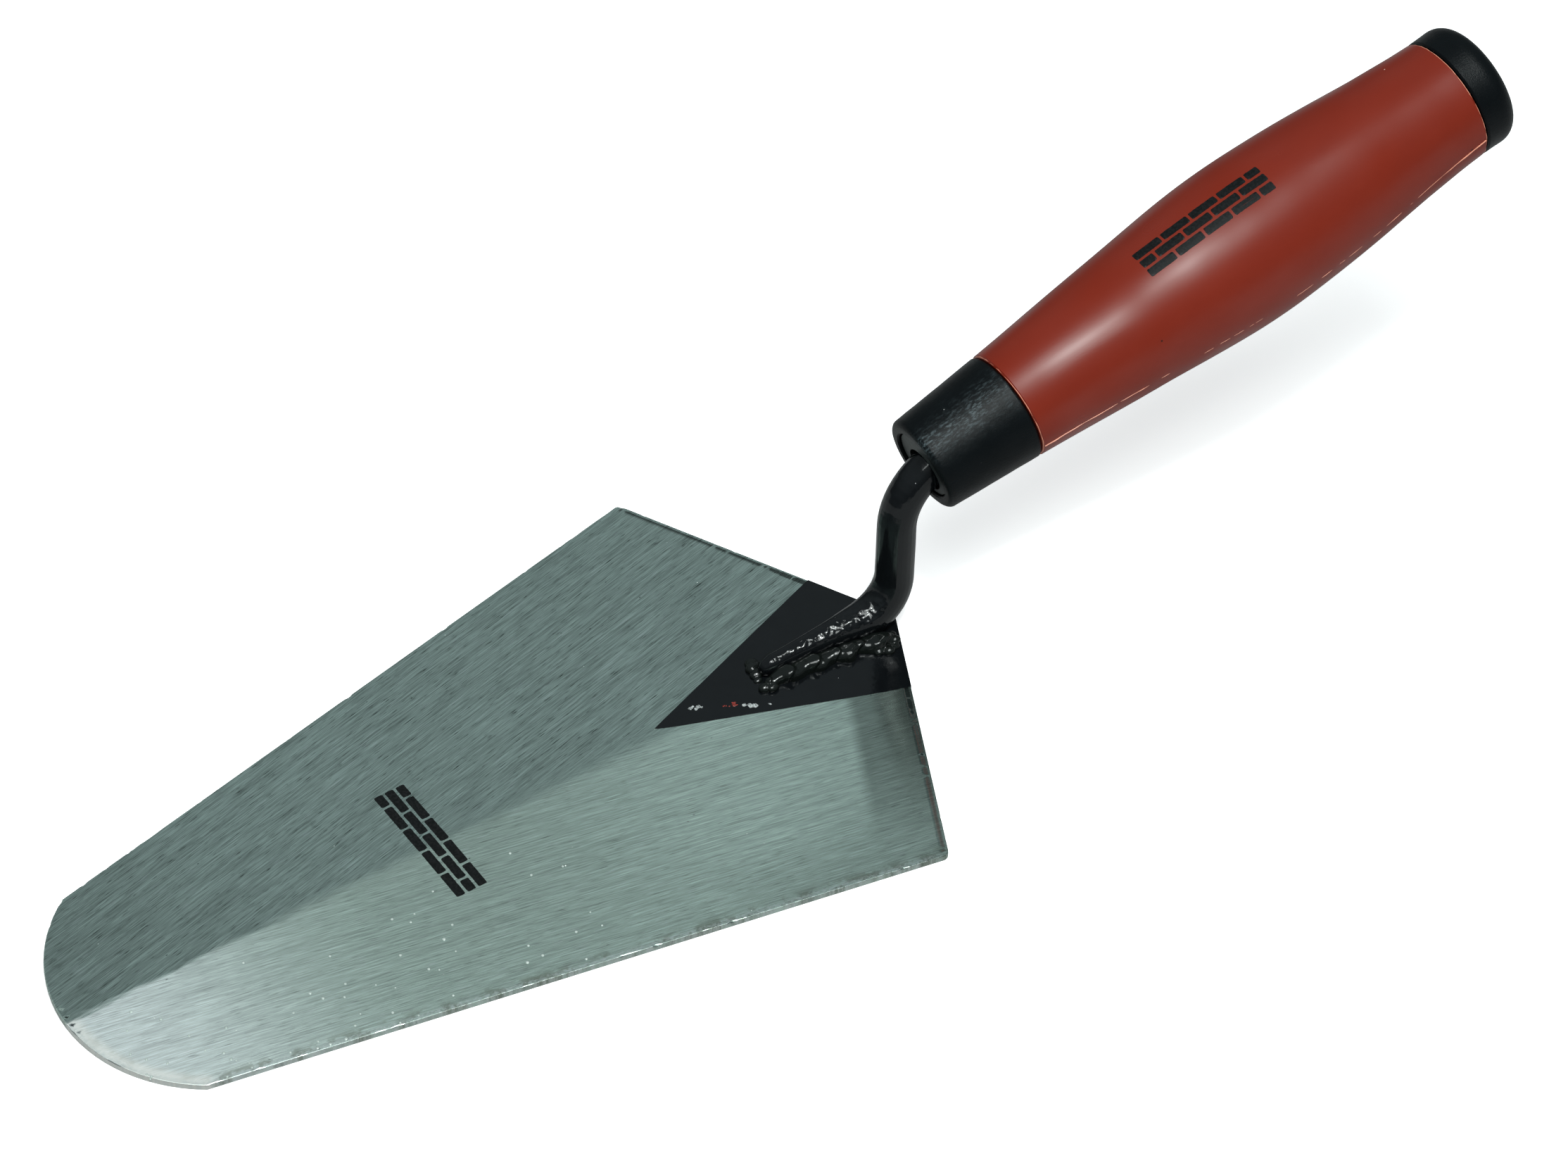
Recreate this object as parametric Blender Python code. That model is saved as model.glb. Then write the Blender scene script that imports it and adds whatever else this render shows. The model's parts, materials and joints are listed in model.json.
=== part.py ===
"""Gauging trowel with a soft-grip handle, built from its separate pieces.

Frame: the origin lies on the blade's flat underside, midway between the two shoulders.
+Y runs along the trowel from its toe to its handle, and +Z points up from the working face.
Lengths are in metres.
"""

import math

import bmesh
import bpy
import numpy as np
from mathutils import Vector

MM = 0.001
GAP = 0.3 * MM  # clearance between neighbouring pieces

# Blade: a kite with a rounded nose, ground thinner from its centreline to its sides.
BLADE_LENGTH = 178 * MM
BLADE_HALF_WIDTH = 55.2 * MM
HEEL_Y = 26.7 * MM
NOSE_HALF_WIDTH = 26.2 * MM
NOSE_RISE = 13.6 * MM
SHOULDER_ROUND = 1.4 * MM
HEEL_ROUND = 3 * MM
RIDGE_THICKNESS = 1.8 * MM
RIDGE_TAPER = 0.0022  # thickness lost per length from the shoulders to the toe
SIDE_TAPER = 0.0108  # thickness lost per length from the ridge to a side
NOSE_SEGMENTS = 28
CORNER_SEGMENTS = 5

# Handle: it is turned about one axis, which starts at the collar's front face.
HANDLE_FRONT = Vector((0, 32.1 * MM, 37.6 * MM))
HANDLE_PITCH = math.radians(14.1)
COLLAR_LENGTH = 20 * MM
GRIP_END = 125.5 * MM
CAP_RIM = 133.4 * MM
BOSS_TOP = 135.2 * MM
HANDLE_LENGTHS = (0, COLLAR_LENGTH, 45.5 * MM, 75.8 * MM, 96.7 * MM, 113.6 * MM, 124.9 * MM, CAP_RIM)
HANDLE_RADII = (9.5 * MM, 11 * MM, 13.35 * MM, 15.6 * MM, 14.7 * MM, 13.2 * MM, 12.55 * MM, 12.7 * MM)
TURNED_SEGMENTS = 48
COLLAR_STATIONS = 7
GRIP_STATIONS = 22
CORE_STATIONS = 12
CAP_STATIONS = 3
EDGE_SEGMENTS = 6

# Front collar and the core that it sits on.
COLLAR_BORE = 7 * MM
COLLAR_ROUND = 1.2 * MM
COLLAR_INNER_CHAMFER = 0.3 * MM
RECESS_DEPTH = 0.6 * MM
CORE_BORE = 4.5 * MM
CORE_BORE_DROP = 1.5 * MM  # the bore lies this far under the handle's axis
CORE_BORE_END = 70 * MM
SLEEVE_WALL = 2.7 * MM
SLEEVE_ROUND = 0.35 * MM

# End cap, with a spigot in the back of the core and a raised moulding boss.
SPIGOT_RADIUS = 5.7 * MM
SPIGOT_LENGTH = 10 * MM
SPIGOT_CHAMFER = 0.6 * MM
CAP_ROUND = 3.5 * MM
CAP_DOME = 1 * MM
BOSS_RADIUS = 4.8 * MM
BOSS_ROUND = 0.3 * MM

# Neck: one forging, from the foot welded to the blade, up the crank, to the tang in the handle.
NECK_RADIUS = 3.75 * MM
NECK_FOOT_Y = 26.1 * MM  # where the upright's centreline would meet the blade's underside
NECK_LEAN = math.radians(88.4)  # the upright's angle above +Y
LOWER_BEND = 9 * MM
UPPER_BEND = 13 * MM
TANG_DROP = 1.2 * MM  # the tang lies this far under the handle's axis
TANG_LENGTH = 62 * MM
TANG_TIP_RADIUS = 2.6 * MM
FOOT_BOTTOM = RIDGE_THICKNESS + GAP
FOOT_TRIM = 0.5 * MM  # how far the toe's sections run under the flat that trims them
FOOT_TOE_Y = -3.3 * MM
FOOT_FULL_Y = 20 * MM  # where the foot has grown to the full width of the rod
FOOT_TOE_SHIFT = -1.1 * MM  # the toe is welded on a little off centre
FOOT_TOE_HALF_WIDTH = 1.8 * MM
FOOT_TOE_ABOVE = 2.1 * MM
FOOT_HEEL_ABOVE = 3.5 * MM
FOOT_TOE_CENTRE_Z = 3.1 * MM
FOOT_HEEL_CENTRE_Z = 4.5 * MM
HEEL_BULGE = 0.6 * MM  # how much fuller the lower bend is on its outer side
FOOT_SQUARENESS = 2.3  # exponent of the foot's superellipse section: 2 is an ellipse
TOE_BLUNTNESS = 0.4  # size of the foot's first section, against the full one after it
TOE_ROUND_SHARE = 0.125  # part of the foot's length over which its toe rounds off
RING_POINTS = 24
FOOT_STATIONS = 12
FOOT_CROWDING = 1.5  # above 1, the foot's sections stand closer together at the toe
BEND_STATIONS = 12
TANG_STATIONS = 5
TRIMMER_SIZE = Vector((30 * MM, 60 * MM, 10 * MM))

# Weld beads along both sides of the foot.
BEAD_TOE_Y = -4.6 * MM
LEFT_BEAD_TOE_Y = -3.6 * MM
BEAD_HEEL_Y = 23.6 * MM
BEAD_WIDTH = 2.9 * MM
BEAD_HEIGHT = 2 * MM
BEAD_RIPPLE = 0.22 * MM
BEAD_RIPPLE_PITCH = 5.6 * MM
BEAD_BLOB_Y = 22 * MM
BEAD_BLOB_SPREAD = 2.4 * MM
BEAD_BLOB_WIDTH = 0.9 * MM
BEAD_BLOB_HEIGHT = 0.5 * MM
BEAD_END_SIZE = 0.2  # size of the bead's end sections, against the full one
BEAD_END_SHARPNESS = 6  # the higher it is, the more suddenly the ends round off
LEFT_BEAD_SIZE = 0.75  # the left bead's width and height, against the right one's
BEAD_STATIONS = 30
BEAD_ARC_POINTS = 10

SHARP_ANGLE = math.radians(35)
ON_CENTRELINE = 0.001 * MM  # points nearer the YZ plane than this lie on it


def clear_scene():
    for obj in list(bpy.data.objects):
        bpy.data.objects.remove(obj, do_unlink=True)


def plain_material(name, colour, roughness, metallic):
    material = bpy.data.materials.new(name)
    material.use_nodes = True
    shader = material.node_tree.nodes["Principled BSDF"]
    shader.inputs["Base Color"].default_value = (*colour, 1)
    shader.inputs["Roughness"].default_value = roughness
    shader.inputs["Metallic"].default_value = metallic
    return material


def add_object(name, bm, material, parent=None):
    """Link the mesh as a smooth-shaded object with its faces turned outwards."""
    bmesh.ops.recalc_face_normals(bm, faces=bm.faces)
    mesh = bpy.data.meshes.new(name)
    bm.to_mesh(mesh)
    bm.free()
    mesh.shade_smooth()
    mesh.set_sharp_from_angle(angle=SHARP_ANGLE)
    mesh.materials.append(material)
    obj = bpy.data.objects.new(name, mesh)
    obj.parent = parent
    bpy.context.scene.collection.objects.link(obj)
    return obj


def add_cutter(name, bm, material, parent=None):
    """Object that only cuts others, hidden from renders."""
    cutter = add_object(name, bm, material, parent)
    cutter.hide_render = True
    cutter.display_type = "WIRE"
    return cutter


def cut_away(obj, name, cutter):
    cut = obj.modifiers.new(name, "BOOLEAN")
    cut.operation = "DIFFERENCE"
    cut.solver = "EXACT"
    cut.object = cutter


def arc_points(centre, radius, start, end, segments):
    """Points on a circular arc, in the plane of a pair of coordinates."""
    steps = [start + (end - start) * i / segments for i in range(segments + 1)]
    return [(centre[0] + radius * math.cos(t), centre[1] + radius * math.sin(t)) for t in steps]


def rounded_corner(before, corner, after, radius, segments):
    """Points of the arc that rounds a corner between two straight edges."""
    corner = Vector(corner)
    to_before = (Vector(before) - corner).normalized()
    to_after = (Vector(after) - corner).normalized()
    half_angle = to_before.angle(to_after) / 2
    middle = (to_before + to_after).normalized()
    centre = corner + middle * radius / math.sin(half_angle)
    tangent = radius / math.tan(half_angle)
    start = corner + to_before * tangent - centre
    end = corner + to_after * tangent - centre
    sweep = start.angle_signed(end)
    first = math.atan2(start.y, start.x)
    return arc_points(centre, radius, first, first - sweep, segments)


def mix(start, end, share):
    return start + (end - start) * share


def loft(rings):
    """Closed mesh through rings with the same number of points, capped flat at both ends."""
    bm = bmesh.new()
    made = [[bm.verts.new(point) for point in ring] for ring in rings]
    for near, far in zip(made, made[1:]):
        for i in range(len(near)):
            j = (i + 1) % len(near)
            bm.faces.new((near[i], near[j], far[j], far[i]))
    bm.faces.new(made[0])
    bm.faces.new(made[-1])
    return bm


def turned(profile):
    """Closed mesh from a closed outline of (length, radius), turned about the local Y axis."""
    bm = bmesh.new()
    angles = [2 * math.pi * i / TURNED_SEGMENTS for i in range(TURNED_SEGMENTS)]
    columns = []
    for length, radius in profile:
        if radius == 0:
            columns.append([bm.verts.new((0, length, 0))] * TURNED_SEGMENTS)
        else:
            around = [(radius * math.cos(t), length, radius * math.sin(t)) for t in angles]
            columns.append([bm.verts.new(point) for point in around])
    for near, far in zip(columns, columns[1:] + columns[:1]):
        for i in range(TURNED_SEGMENTS):
            j = (i + 1) % TURNED_SEGMENTS
            corners = list(dict.fromkeys((near[i], near[j], far[j], far[i])))
            if len(corners) > 2:
                bm.faces.new(corners)
    return bm


# Blade


def blade_outline():
    """The kite seen from above, from the nose corner at +X round to the one at -X."""
    toe_y = HEEL_Y - BLADE_LENGTH
    nose_y = toe_y + NOSE_RISE
    nose_radius = (NOSE_HALF_WIDTH**2 + NOSE_RISE**2) / (2 * NOSE_RISE)
    nose_centre = (0, toe_y + nose_radius)
    half_sweep = math.asin(NOSE_HALF_WIDTH / nose_radius)
    right_nose, left_nose = (NOSE_HALF_WIDTH, nose_y), (-NOSE_HALF_WIDTH, nose_y)
    right, left = (BLADE_HALF_WIDTH, 0), (-BLADE_HALF_WIDTH, 0)
    heel = (0, HEEL_Y)
    bottom = -math.pi / 2
    nose = arc_points(nose_centre, nose_radius, bottom - half_sweep, bottom + half_sweep, NOSE_SEGMENTS)
    outline = rounded_corner(right_nose, right, heel, SHOULDER_ROUND, CORNER_SEGMENTS)
    outline += rounded_corner(right, heel, left, HEEL_ROUND, CORNER_SEGMENTS + 1)
    outline += rounded_corner(heel, left, left_nose, SHOULDER_ROUND, CORNER_SEGMENTS)
    return outline + nose


def blade_thickness(x, y):
    return RIDGE_THICKNESS + RIDGE_TAPER * min(y, 0) - SIDE_TAPER * abs(x)


def build_blade(material):
    outline = blade_outline()
    bm = bmesh.new()
    lower = [bm.verts.new((x, y, 0)) for x, y in outline]
    upper = [bm.verts.new((x, y, blade_thickness(x, y))) for x, y in outline]
    bm.faces.new(lower)
    for i in range(len(outline)):
        j = (i + 1) % len(outline)
        bm.faces.new((lower[i], lower[j], upper[j], upper[i]))
    on_ridge = [vert for vert in upper if abs(vert.co.x) < ON_CENTRELINE]
    heel = max(on_ridge, key=lambda vert: vert.co.y)
    toe = min(on_ridge, key=lambda vert: vert.co.y)
    middle = bm.verts.new((0, 0, blade_thickness(0, 0)))
    for side in (1, -1):
        rim = [vert for vert in upper if side * vert.co.x > ON_CENTRELINE]
        shoulder = max(rim, key=lambda vert: abs(vert.co.x))
        ahead = [vert for vert in rim if vert.co.y < shoulder.co.y]
        behind = [vert for vert in rim if vert.co.y > shoulder.co.y]
        ahead.sort(key=lambda vert: vert.co.y)
        behind.sort(key=lambda vert: vert.co.y)
        bm.faces.new([middle, toe, *ahead, shoulder])
        bm.faces.new([middle, shoulder, *behind, heel])
    return add_object("blade", bm, material)


# Neck


def superellipse(half_width, above, below, squareness):
    """Section points as (across, up), with its own half height above and below the centre."""
    points = []
    for i in range(RING_POINTS):
        t = 2 * math.pi * i / RING_POINTS
        across = math.copysign(abs(math.cos(t)) ** (2 / squareness), math.cos(t))
        up = math.copysign(abs(math.sin(t)) ** (2 / squareness), math.sin(t))
        points.append((half_width * across, (above if up > 0 else below) * up))
    return points


def placed_section(y, z, angle, section):
    """Stand a section across the path, which runs at this angle above +Y."""
    shift = FOOT_TOE_SHIFT * (1 - foot_share(y))
    up_y, up_z = -math.sin(angle), math.cos(angle)
    return [(shift + across, y + up * up_y, z + up * up_z) for across, up in section]


def foot_share(y):
    """0 at the toe of the foot and 1 where it has grown to the rod's full width."""
    return min(max((y - FOOT_TOE_Y) / (FOOT_FULL_Y - FOOT_TOE_Y), 0), 1)


def foot_half_width(y):
    return mix(FOOT_TOE_HALF_WIDTH, NECK_RADIUS, foot_share(y) ** 2)


def lower_bend_start():
    """Where the foot starts to rise, so that the bend is tangent to the leaning upright."""
    rise = LOWER_BEND * (1 - math.cos(NECK_LEAN)) + FOOT_HEEL_CENTRE_Z
    return NECK_FOOT_Y + rise / math.tan(NECK_LEAN) - LOWER_BEND * math.sin(NECK_LEAN)


def upper_bend_centre():
    """Centre of the bend that is tangent to the upright and to the tang."""
    upright_right = (math.sin(NECK_LEAN), -math.cos(NECK_LEAN))
    tang_right = (math.sin(HANDLE_PITCH), -math.cos(HANDLE_PITCH))
    tang_y = HANDLE_FRONT.y + TANG_DROP * tang_right[0]
    tang_z = HANDLE_FRONT.z + TANG_DROP * tang_right[1]
    upright_offset = NECK_FOOT_Y * upright_right[0] + UPPER_BEND
    tang_offset = tang_y * tang_right[0] + tang_z * tang_right[1] + UPPER_BEND
    return np.linalg.solve((upright_right, tang_right), (upright_offset, tang_offset))


def foot_rings():
    """The tapered foot, from its rounded toe to the start of the lower bend."""
    rings = []
    for i in range(FOOT_STATIONS):
        share = (i / FOOT_STATIONS) ** FOOT_CROWDING
        y = mix(FOOT_TOE_Y, lower_bend_start(), share)
        z = mix(FOOT_TOE_CENTRE_Z, FOOT_HEEL_CENTRE_Z, share)
        toe_round = mix(TOE_BLUNTNESS, 1, math.sqrt(min(1, share / TOE_ROUND_SHARE)))
        above = mix(FOOT_TOE_ABOVE, FOOT_HEEL_ABOVE, share) * toe_round
        below = mix(z - FOOT_BOTTOM + FOOT_TRIM, NECK_RADIUS, share)
        section = superellipse(foot_half_width(y) * toe_round, above, below, FOOT_SQUARENESS)
        rings.append(placed_section(y, z, 0, section))
    return rings


def lower_bend_rings():
    """The bend from the foot up to the upright, fuller on its outer side."""
    rings = []
    for i in range(BEND_STATIONS + 1):
        share = i / BEND_STATIONS
        angle = share * NECK_LEAN
        y = lower_bend_start() + LOWER_BEND * math.sin(angle)
        z = FOOT_HEEL_CENTRE_Z + LOWER_BEND * (1 - math.cos(angle))
        above = mix(FOOT_HEEL_ABOVE, NECK_RADIUS, share)
        below = NECK_RADIUS + HEEL_BULGE * math.sin(2 * angle) ** 2
        squareness = mix(FOOT_SQUARENESS, 2, share)
        section = superellipse(foot_half_width(y), above, below, squareness)
        rings.append(placed_section(y, z, angle, section))
    return rings


def upper_bend_rings():
    """The bend from the upright back into the line of the handle."""
    rings = []
    centre_y, centre_z = upper_bend_centre()
    section = superellipse(NECK_RADIUS, NECK_RADIUS, NECK_RADIUS, 2)
    for i in range(BEND_STATIONS + 1):
        angle = mix(NECK_LEAN, HANDLE_PITCH, i / BEND_STATIONS)
        y = centre_y - UPPER_BEND * math.sin(angle)
        z = centre_z + UPPER_BEND * math.cos(angle)
        rings.append(placed_section(y, z, angle, section))
    return rings


def tang_rings():
    """The straight tang, which tapers to its tip inside the core."""
    rings = []
    centre_y, centre_z = upper_bend_centre()
    start_y = centre_y - UPPER_BEND * math.sin(HANDLE_PITCH)
    start_z = centre_z + UPPER_BEND * math.cos(HANDLE_PITCH)
    for i in range(1, TANG_STATIONS + 1):
        length = TANG_LENGTH * i / TANG_STATIONS
        radius = mix(NECK_RADIUS, TANG_TIP_RADIUS, (i - 1) / (TANG_STATIONS - 1))
        y = start_y + length * math.cos(HANDLE_PITCH)
        z = start_z + length * math.sin(HANDLE_PITCH)
        section = superellipse(radius, radius, radius, 2)
        rings.append(placed_section(y, z, HANDLE_PITCH, section))
    return rings


def build_neck(material):
    """The swept forging, with its underside cut flat just clear of the blade."""
    rings = foot_rings() + lower_bend_rings() + upper_bend_rings() + tang_rings()
    neck = add_object("neck_tang", loft(rings), material)
    block = bmesh.new()
    bmesh.ops.create_cube(block, size=1)
    bmesh.ops.scale(block, vec=TRIMMER_SIZE, verts=block.verts)
    middle = (0, NECK_FOOT_Y / 2, FOOT_BOTTOM - TRIMMER_SIZE.z / 2)
    bmesh.ops.translate(block, vec=middle, verts=block.verts)
    cut_away(neck, "flat_underside", add_cutter("foot_trimmer", block, material))
    return neck


# Weld beads


def bead_rings(side, size, toe_y):
    """Half-round sections beside the foot, swelling in ripples and in a blob at the heel."""
    rings = []
    for i in range(BEAD_STATIONS + 1):
        share = i / BEAD_STATIONS
        y = mix(toe_y, BEAD_HEEL_Y, share)
        taper = max(BEAD_END_SIZE, math.sqrt(1 - abs(2 * share - 1) ** BEAD_END_SHARPNESS))
        ripple = BEAD_RIPPLE * math.sin(2 * math.pi * y / BEAD_RIPPLE_PITCH)
        blob = math.exp(-(((y - BEAD_BLOB_Y) / BEAD_BLOB_SPREAD) ** 2))
        width = (BEAD_WIDTH + 2 * ripple + BEAD_BLOB_WIDTH * blob) * size
        height = (BEAD_HEIGHT + ripple + BEAD_BLOB_HEIGHT * blob) * size * taper
        foot_edge = foot_half_width(y) + side * FOOT_TOE_SHIFT * (1 - foot_share(y))
        centre = foot_edge + GAP + width / 2
        ring = []
        for j in range(BEAD_ARC_POINTS + 1):
            t = math.pi * j / BEAD_ARC_POINTS
            x = centre + width / 2 * taper * math.cos(t)
            ring.append((side * x, y, FOOT_BOTTOM + height * math.sin(t)))
        rings.append(ring)
    return rings


def build_beads(material):
    add_object("weld_bead_left", loft(bead_rings(-1, LEFT_BEAD_SIZE, LEFT_BEAD_TOE_Y)), material)
    add_object("weld_bead_right", loft(bead_rings(1, 1, BEAD_TOE_Y)), material)


# Handle


def handle_radius(length):
    """Outer radius of the handle at a length from its front: a cubic through the named radii."""
    slopes = np.gradient(HANDLE_RADII, HANDLE_LENGTHS)
    right = int(np.clip(np.searchsorted(HANDLE_LENGTHS, length), 1, len(HANDLE_LENGTHS) - 1))
    left = right - 1
    span = HANDLE_LENGTHS[right] - HANDLE_LENGTHS[left]
    t = (length - HANDLE_LENGTHS[left]) / span
    rise = HANDLE_RADII[right] - HANDLE_RADII[left]
    bend_left = slopes[left] * span - rise
    bend_right = rise - slopes[right] * span
    straight = mix(HANDLE_RADII[left], HANDLE_RADII[right], t)
    return float(straight + t * (1 - t) * ((1 - t) * bend_left + t * bend_right))


def outer_line(start, end, stations, inset=0):
    """Profile points along the handle's outer curve, or along a line inset from it."""
    lengths = [mix(start, end, i / stations) for i in range(stations + 1)]
    return [(length, handle_radius(length) - inset) for length in lengths]


def handle_frame():
    """Empty whose local Y axis is the handle's axis, from the collar's front face."""
    frame = bpy.data.objects.new("handle_axis", None)
    frame.location = HANDLE_FRONT
    frame.rotation_euler = (HANDLE_PITCH, 0, 0)
    bpy.context.scene.collection.objects.link(frame)
    return frame


def build_collar(frame, material):
    """Ring round the nose of the core, deeper than the nose so that it leaves a recess."""
    back = COLLAR_LENGTH - GAP / 2
    rim = handle_radius(COLLAR_ROUND)
    profile = [(0, COLLAR_BORE + COLLAR_INNER_CHAMFER)]
    corner = (COLLAR_ROUND, rim - COLLAR_ROUND)
    profile += arc_points(corner, COLLAR_ROUND, math.pi, math.pi / 2, EDGE_SEGMENTS)[:-1]
    profile += outer_line(COLLAR_ROUND, back - SLEEVE_ROUND, COLLAR_STATIONS)
    profile += [(back, handle_radius(back) - SLEEVE_ROUND)]
    profile += [(back, COLLAR_BORE), (COLLAR_INNER_CHAMFER, COLLAR_BORE)]
    return add_object("front_collar", turned(profile), material, frame)


def build_core(frame, material):
    """Hard core under the grip, bored from the front for the tang and from the back for the cap."""
    nose_radius = COLLAR_BORE - GAP
    shoulder = COLLAR_LENGTH + GAP / 2
    back = GRIP_END - GAP
    socket_radius = SPIGOT_RADIUS + GAP
    socket_end = GRIP_END - SPIGOT_LENGTH - GAP
    profile = [(RECESS_DEPTH, 0), (RECESS_DEPTH, nose_radius), (shoulder, nose_radius)]
    profile += outer_line(shoulder, back, CORE_STATIONS, inset=SLEEVE_WALL + GAP)
    profile += [(back, socket_radius), (socket_end, socket_radius), (socket_end, 0)]
    core = add_object("handle_core", turned(profile), material, frame)
    bore = turned([(0, 0), (0, CORE_BORE), (CORE_BORE_END, CORE_BORE), (CORE_BORE_END, 0)])
    bmesh.ops.translate(bore, vec=(0, 0, -CORE_BORE_DROP), verts=bore.verts)
    cut_away(core, "tang_bore", add_cutter("tang_bore_cutter", bore, material, frame))
    return core


def build_sleeve(frame, material):
    """Soft grip moulded over the core, with its ends slightly rounded at the joints."""
    front = COLLAR_LENGTH + GAP / 2
    back = GRIP_END - GAP / 2
    profile = [(front, handle_radius(front) - SLEEVE_ROUND)]
    profile += outer_line(front + SLEEVE_ROUND, back - SLEEVE_ROUND, GRIP_STATIONS)
    profile += [(back, handle_radius(back) - SLEEVE_ROUND)]
    profile += reversed(outer_line(front, back, CORE_STATIONS, inset=SLEEVE_WALL))
    return add_object("grip_sleeve", turned(profile), material, frame)


def build_cap(frame, material):
    """End cap with rounded rim, shallow dome and raised boss, held by its spigot."""
    front = GRIP_END + GAP / 2
    tip = GRIP_END - SPIGOT_LENGTH
    side_end = CAP_RIM - CAP_ROUND
    side_radius = handle_radius(side_end)
    corner = (side_end, side_radius - CAP_ROUND)
    profile = [(tip, 0), (tip, SPIGOT_RADIUS - SPIGOT_CHAMFER)]
    profile += [(tip + SPIGOT_CHAMFER, SPIGOT_RADIUS), (front, SPIGOT_RADIUS)]
    profile += [(front, handle_radius(front) - SLEEVE_ROUND)]
    profile += outer_line(front + SLEEVE_ROUND, side_end, CAP_STATIONS)
    profile += arc_points(corner, CAP_ROUND, math.pi / 2, 0, EDGE_SEGMENTS)[1:]
    profile += [(CAP_RIM + CAP_DOME, BOSS_RADIUS), (BOSS_TOP - BOSS_ROUND, BOSS_RADIUS)]
    profile += [(BOSS_TOP, BOSS_RADIUS - BOSS_ROUND), (BOSS_TOP, 0)]
    return add_object("end_cap", turned(profile), material, frame)


def build_trowel():
    clear_scene()
    steel = plain_material("ground_steel", (0.36, 0.40, 0.39), 0.42, 1)
    lacquer = plain_material("black_lacquer", (0.012, 0.013, 0.015), 0.22, 0)
    hard_plastic = plain_material("hard_plastic", (0.05, 0.06, 0.06), 0.45, 0)
    black_rubber = plain_material("black_rubber", (0.012, 0.016, 0.018), 0.62, 0)
    red_grip = plain_material("red_grip", (0.25, 0.035, 0.02), 0.48, 0)
    build_blade(steel)
    build_neck(lacquer)
    build_beads(lacquer)
    frame = handle_frame()
    build_core(frame, hard_plastic)
    build_collar(frame, black_rubber)
    build_sleeve(frame, red_grip)
    build_cap(frame, black_rubber)


build_trowel()
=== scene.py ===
"""Looks of the gauging trowel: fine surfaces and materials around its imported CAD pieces.

Frame: the blade's flat underside lies on z = 0, +Y runs from the toe to the handle and +Z points up.
Lengths are in metres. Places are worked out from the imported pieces, in this frame.
"""

import json
import math

import bmesh
import bpy
import numpy as np
from mathutils import Matrix, Vector, geometry, noise

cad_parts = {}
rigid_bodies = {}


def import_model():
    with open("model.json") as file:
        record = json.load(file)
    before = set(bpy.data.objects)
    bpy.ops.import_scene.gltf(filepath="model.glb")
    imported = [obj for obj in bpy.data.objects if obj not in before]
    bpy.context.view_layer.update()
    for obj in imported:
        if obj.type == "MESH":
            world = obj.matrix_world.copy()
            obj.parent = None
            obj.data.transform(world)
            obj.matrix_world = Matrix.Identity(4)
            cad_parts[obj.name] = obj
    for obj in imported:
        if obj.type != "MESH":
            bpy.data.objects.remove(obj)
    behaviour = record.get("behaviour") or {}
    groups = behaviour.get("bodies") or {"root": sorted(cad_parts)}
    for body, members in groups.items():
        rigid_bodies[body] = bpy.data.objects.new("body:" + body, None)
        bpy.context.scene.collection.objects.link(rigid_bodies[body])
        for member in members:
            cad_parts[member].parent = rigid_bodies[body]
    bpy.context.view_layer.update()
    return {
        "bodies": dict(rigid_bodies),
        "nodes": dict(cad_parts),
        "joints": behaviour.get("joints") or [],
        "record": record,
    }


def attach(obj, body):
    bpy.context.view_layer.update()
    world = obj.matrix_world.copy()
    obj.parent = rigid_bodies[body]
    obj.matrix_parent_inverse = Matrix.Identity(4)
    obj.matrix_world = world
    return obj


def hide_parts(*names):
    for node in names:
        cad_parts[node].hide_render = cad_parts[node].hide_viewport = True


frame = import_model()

MM = 0.001
BODY = "root"

# Camera, at the photograph's viewing angle.
CAMERA_AZIMUTH = math.radians(55.97)  # from -Y round towards +X
CAMERA_ELEVATION = math.radians(44.86)
CAMERA_ROLL = math.radians(-0.31)
CAMERA_DISTANCE = 972.2 * MM
CAMERA_TARGET = Vector((-20.67, 15.42, 0)) * MM
LENS = 116.8
SENSOR = 36

# Light.
SKY_STRENGTH = 0.29
SKY_TOP = 0.65  # height, on a unit sphere, where the sky reaches its full strength
HORIZON_SHARE = 0.25
SKY_COLOUR = (0.82, 0.96, 1, 1)
BACKDROP = 0.95  # what the camera itself sees of the sky, beyond the floor
SOFTBOX_SIZE = 0.8
SOFTBOX_DISTANCE = 1.3
SOFTBOX_DIRECTION = Vector((0.35, -0.10, 1)).normalized()
SOFTBOX_POWER = 15
SOFTBOX_COLOUR = (0.94, 1, 0.985)
SPARK_SIZE = 0.12
SPARK_DISTANCE = 1.2
SPARK_POWER = 5
FLOOR_HALF_SIZE = 6
FLOOR_DROP = 0.05 * MM
FLOOR_GLOW = 0.58  # how much a lit table brightens the background
FLOOR_BOUNCE = 0.08  # the share of it that lights the trowel
FLOOR_MIRRORED = 0.27  # how light the floor looks in the trowel's gloss, as in a dim room

# Blade.
OUTLINE_STEP = 0.6 * MM
RIM_INSET = 0.8 * MM  # how far in from the edge the rim's worn shape reaches
FOLLOWING_ROWS = ((1.7 * MM, 2), (2.4 * MM, 3), (3.4 * MM, 4))  # insets, and every how many rim points
GRID_INSET = 4.6 * MM
BLADE_GRID = 2.6 * MM
RIDGE_SOFTNESS = 1.2 * MM
NOSE_LENGTH = 13.6 * MM  # how much of the blade's length its rounded nose takes up
DROPLETS = 60
DROPLET_REACH = 95 * MM

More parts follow.
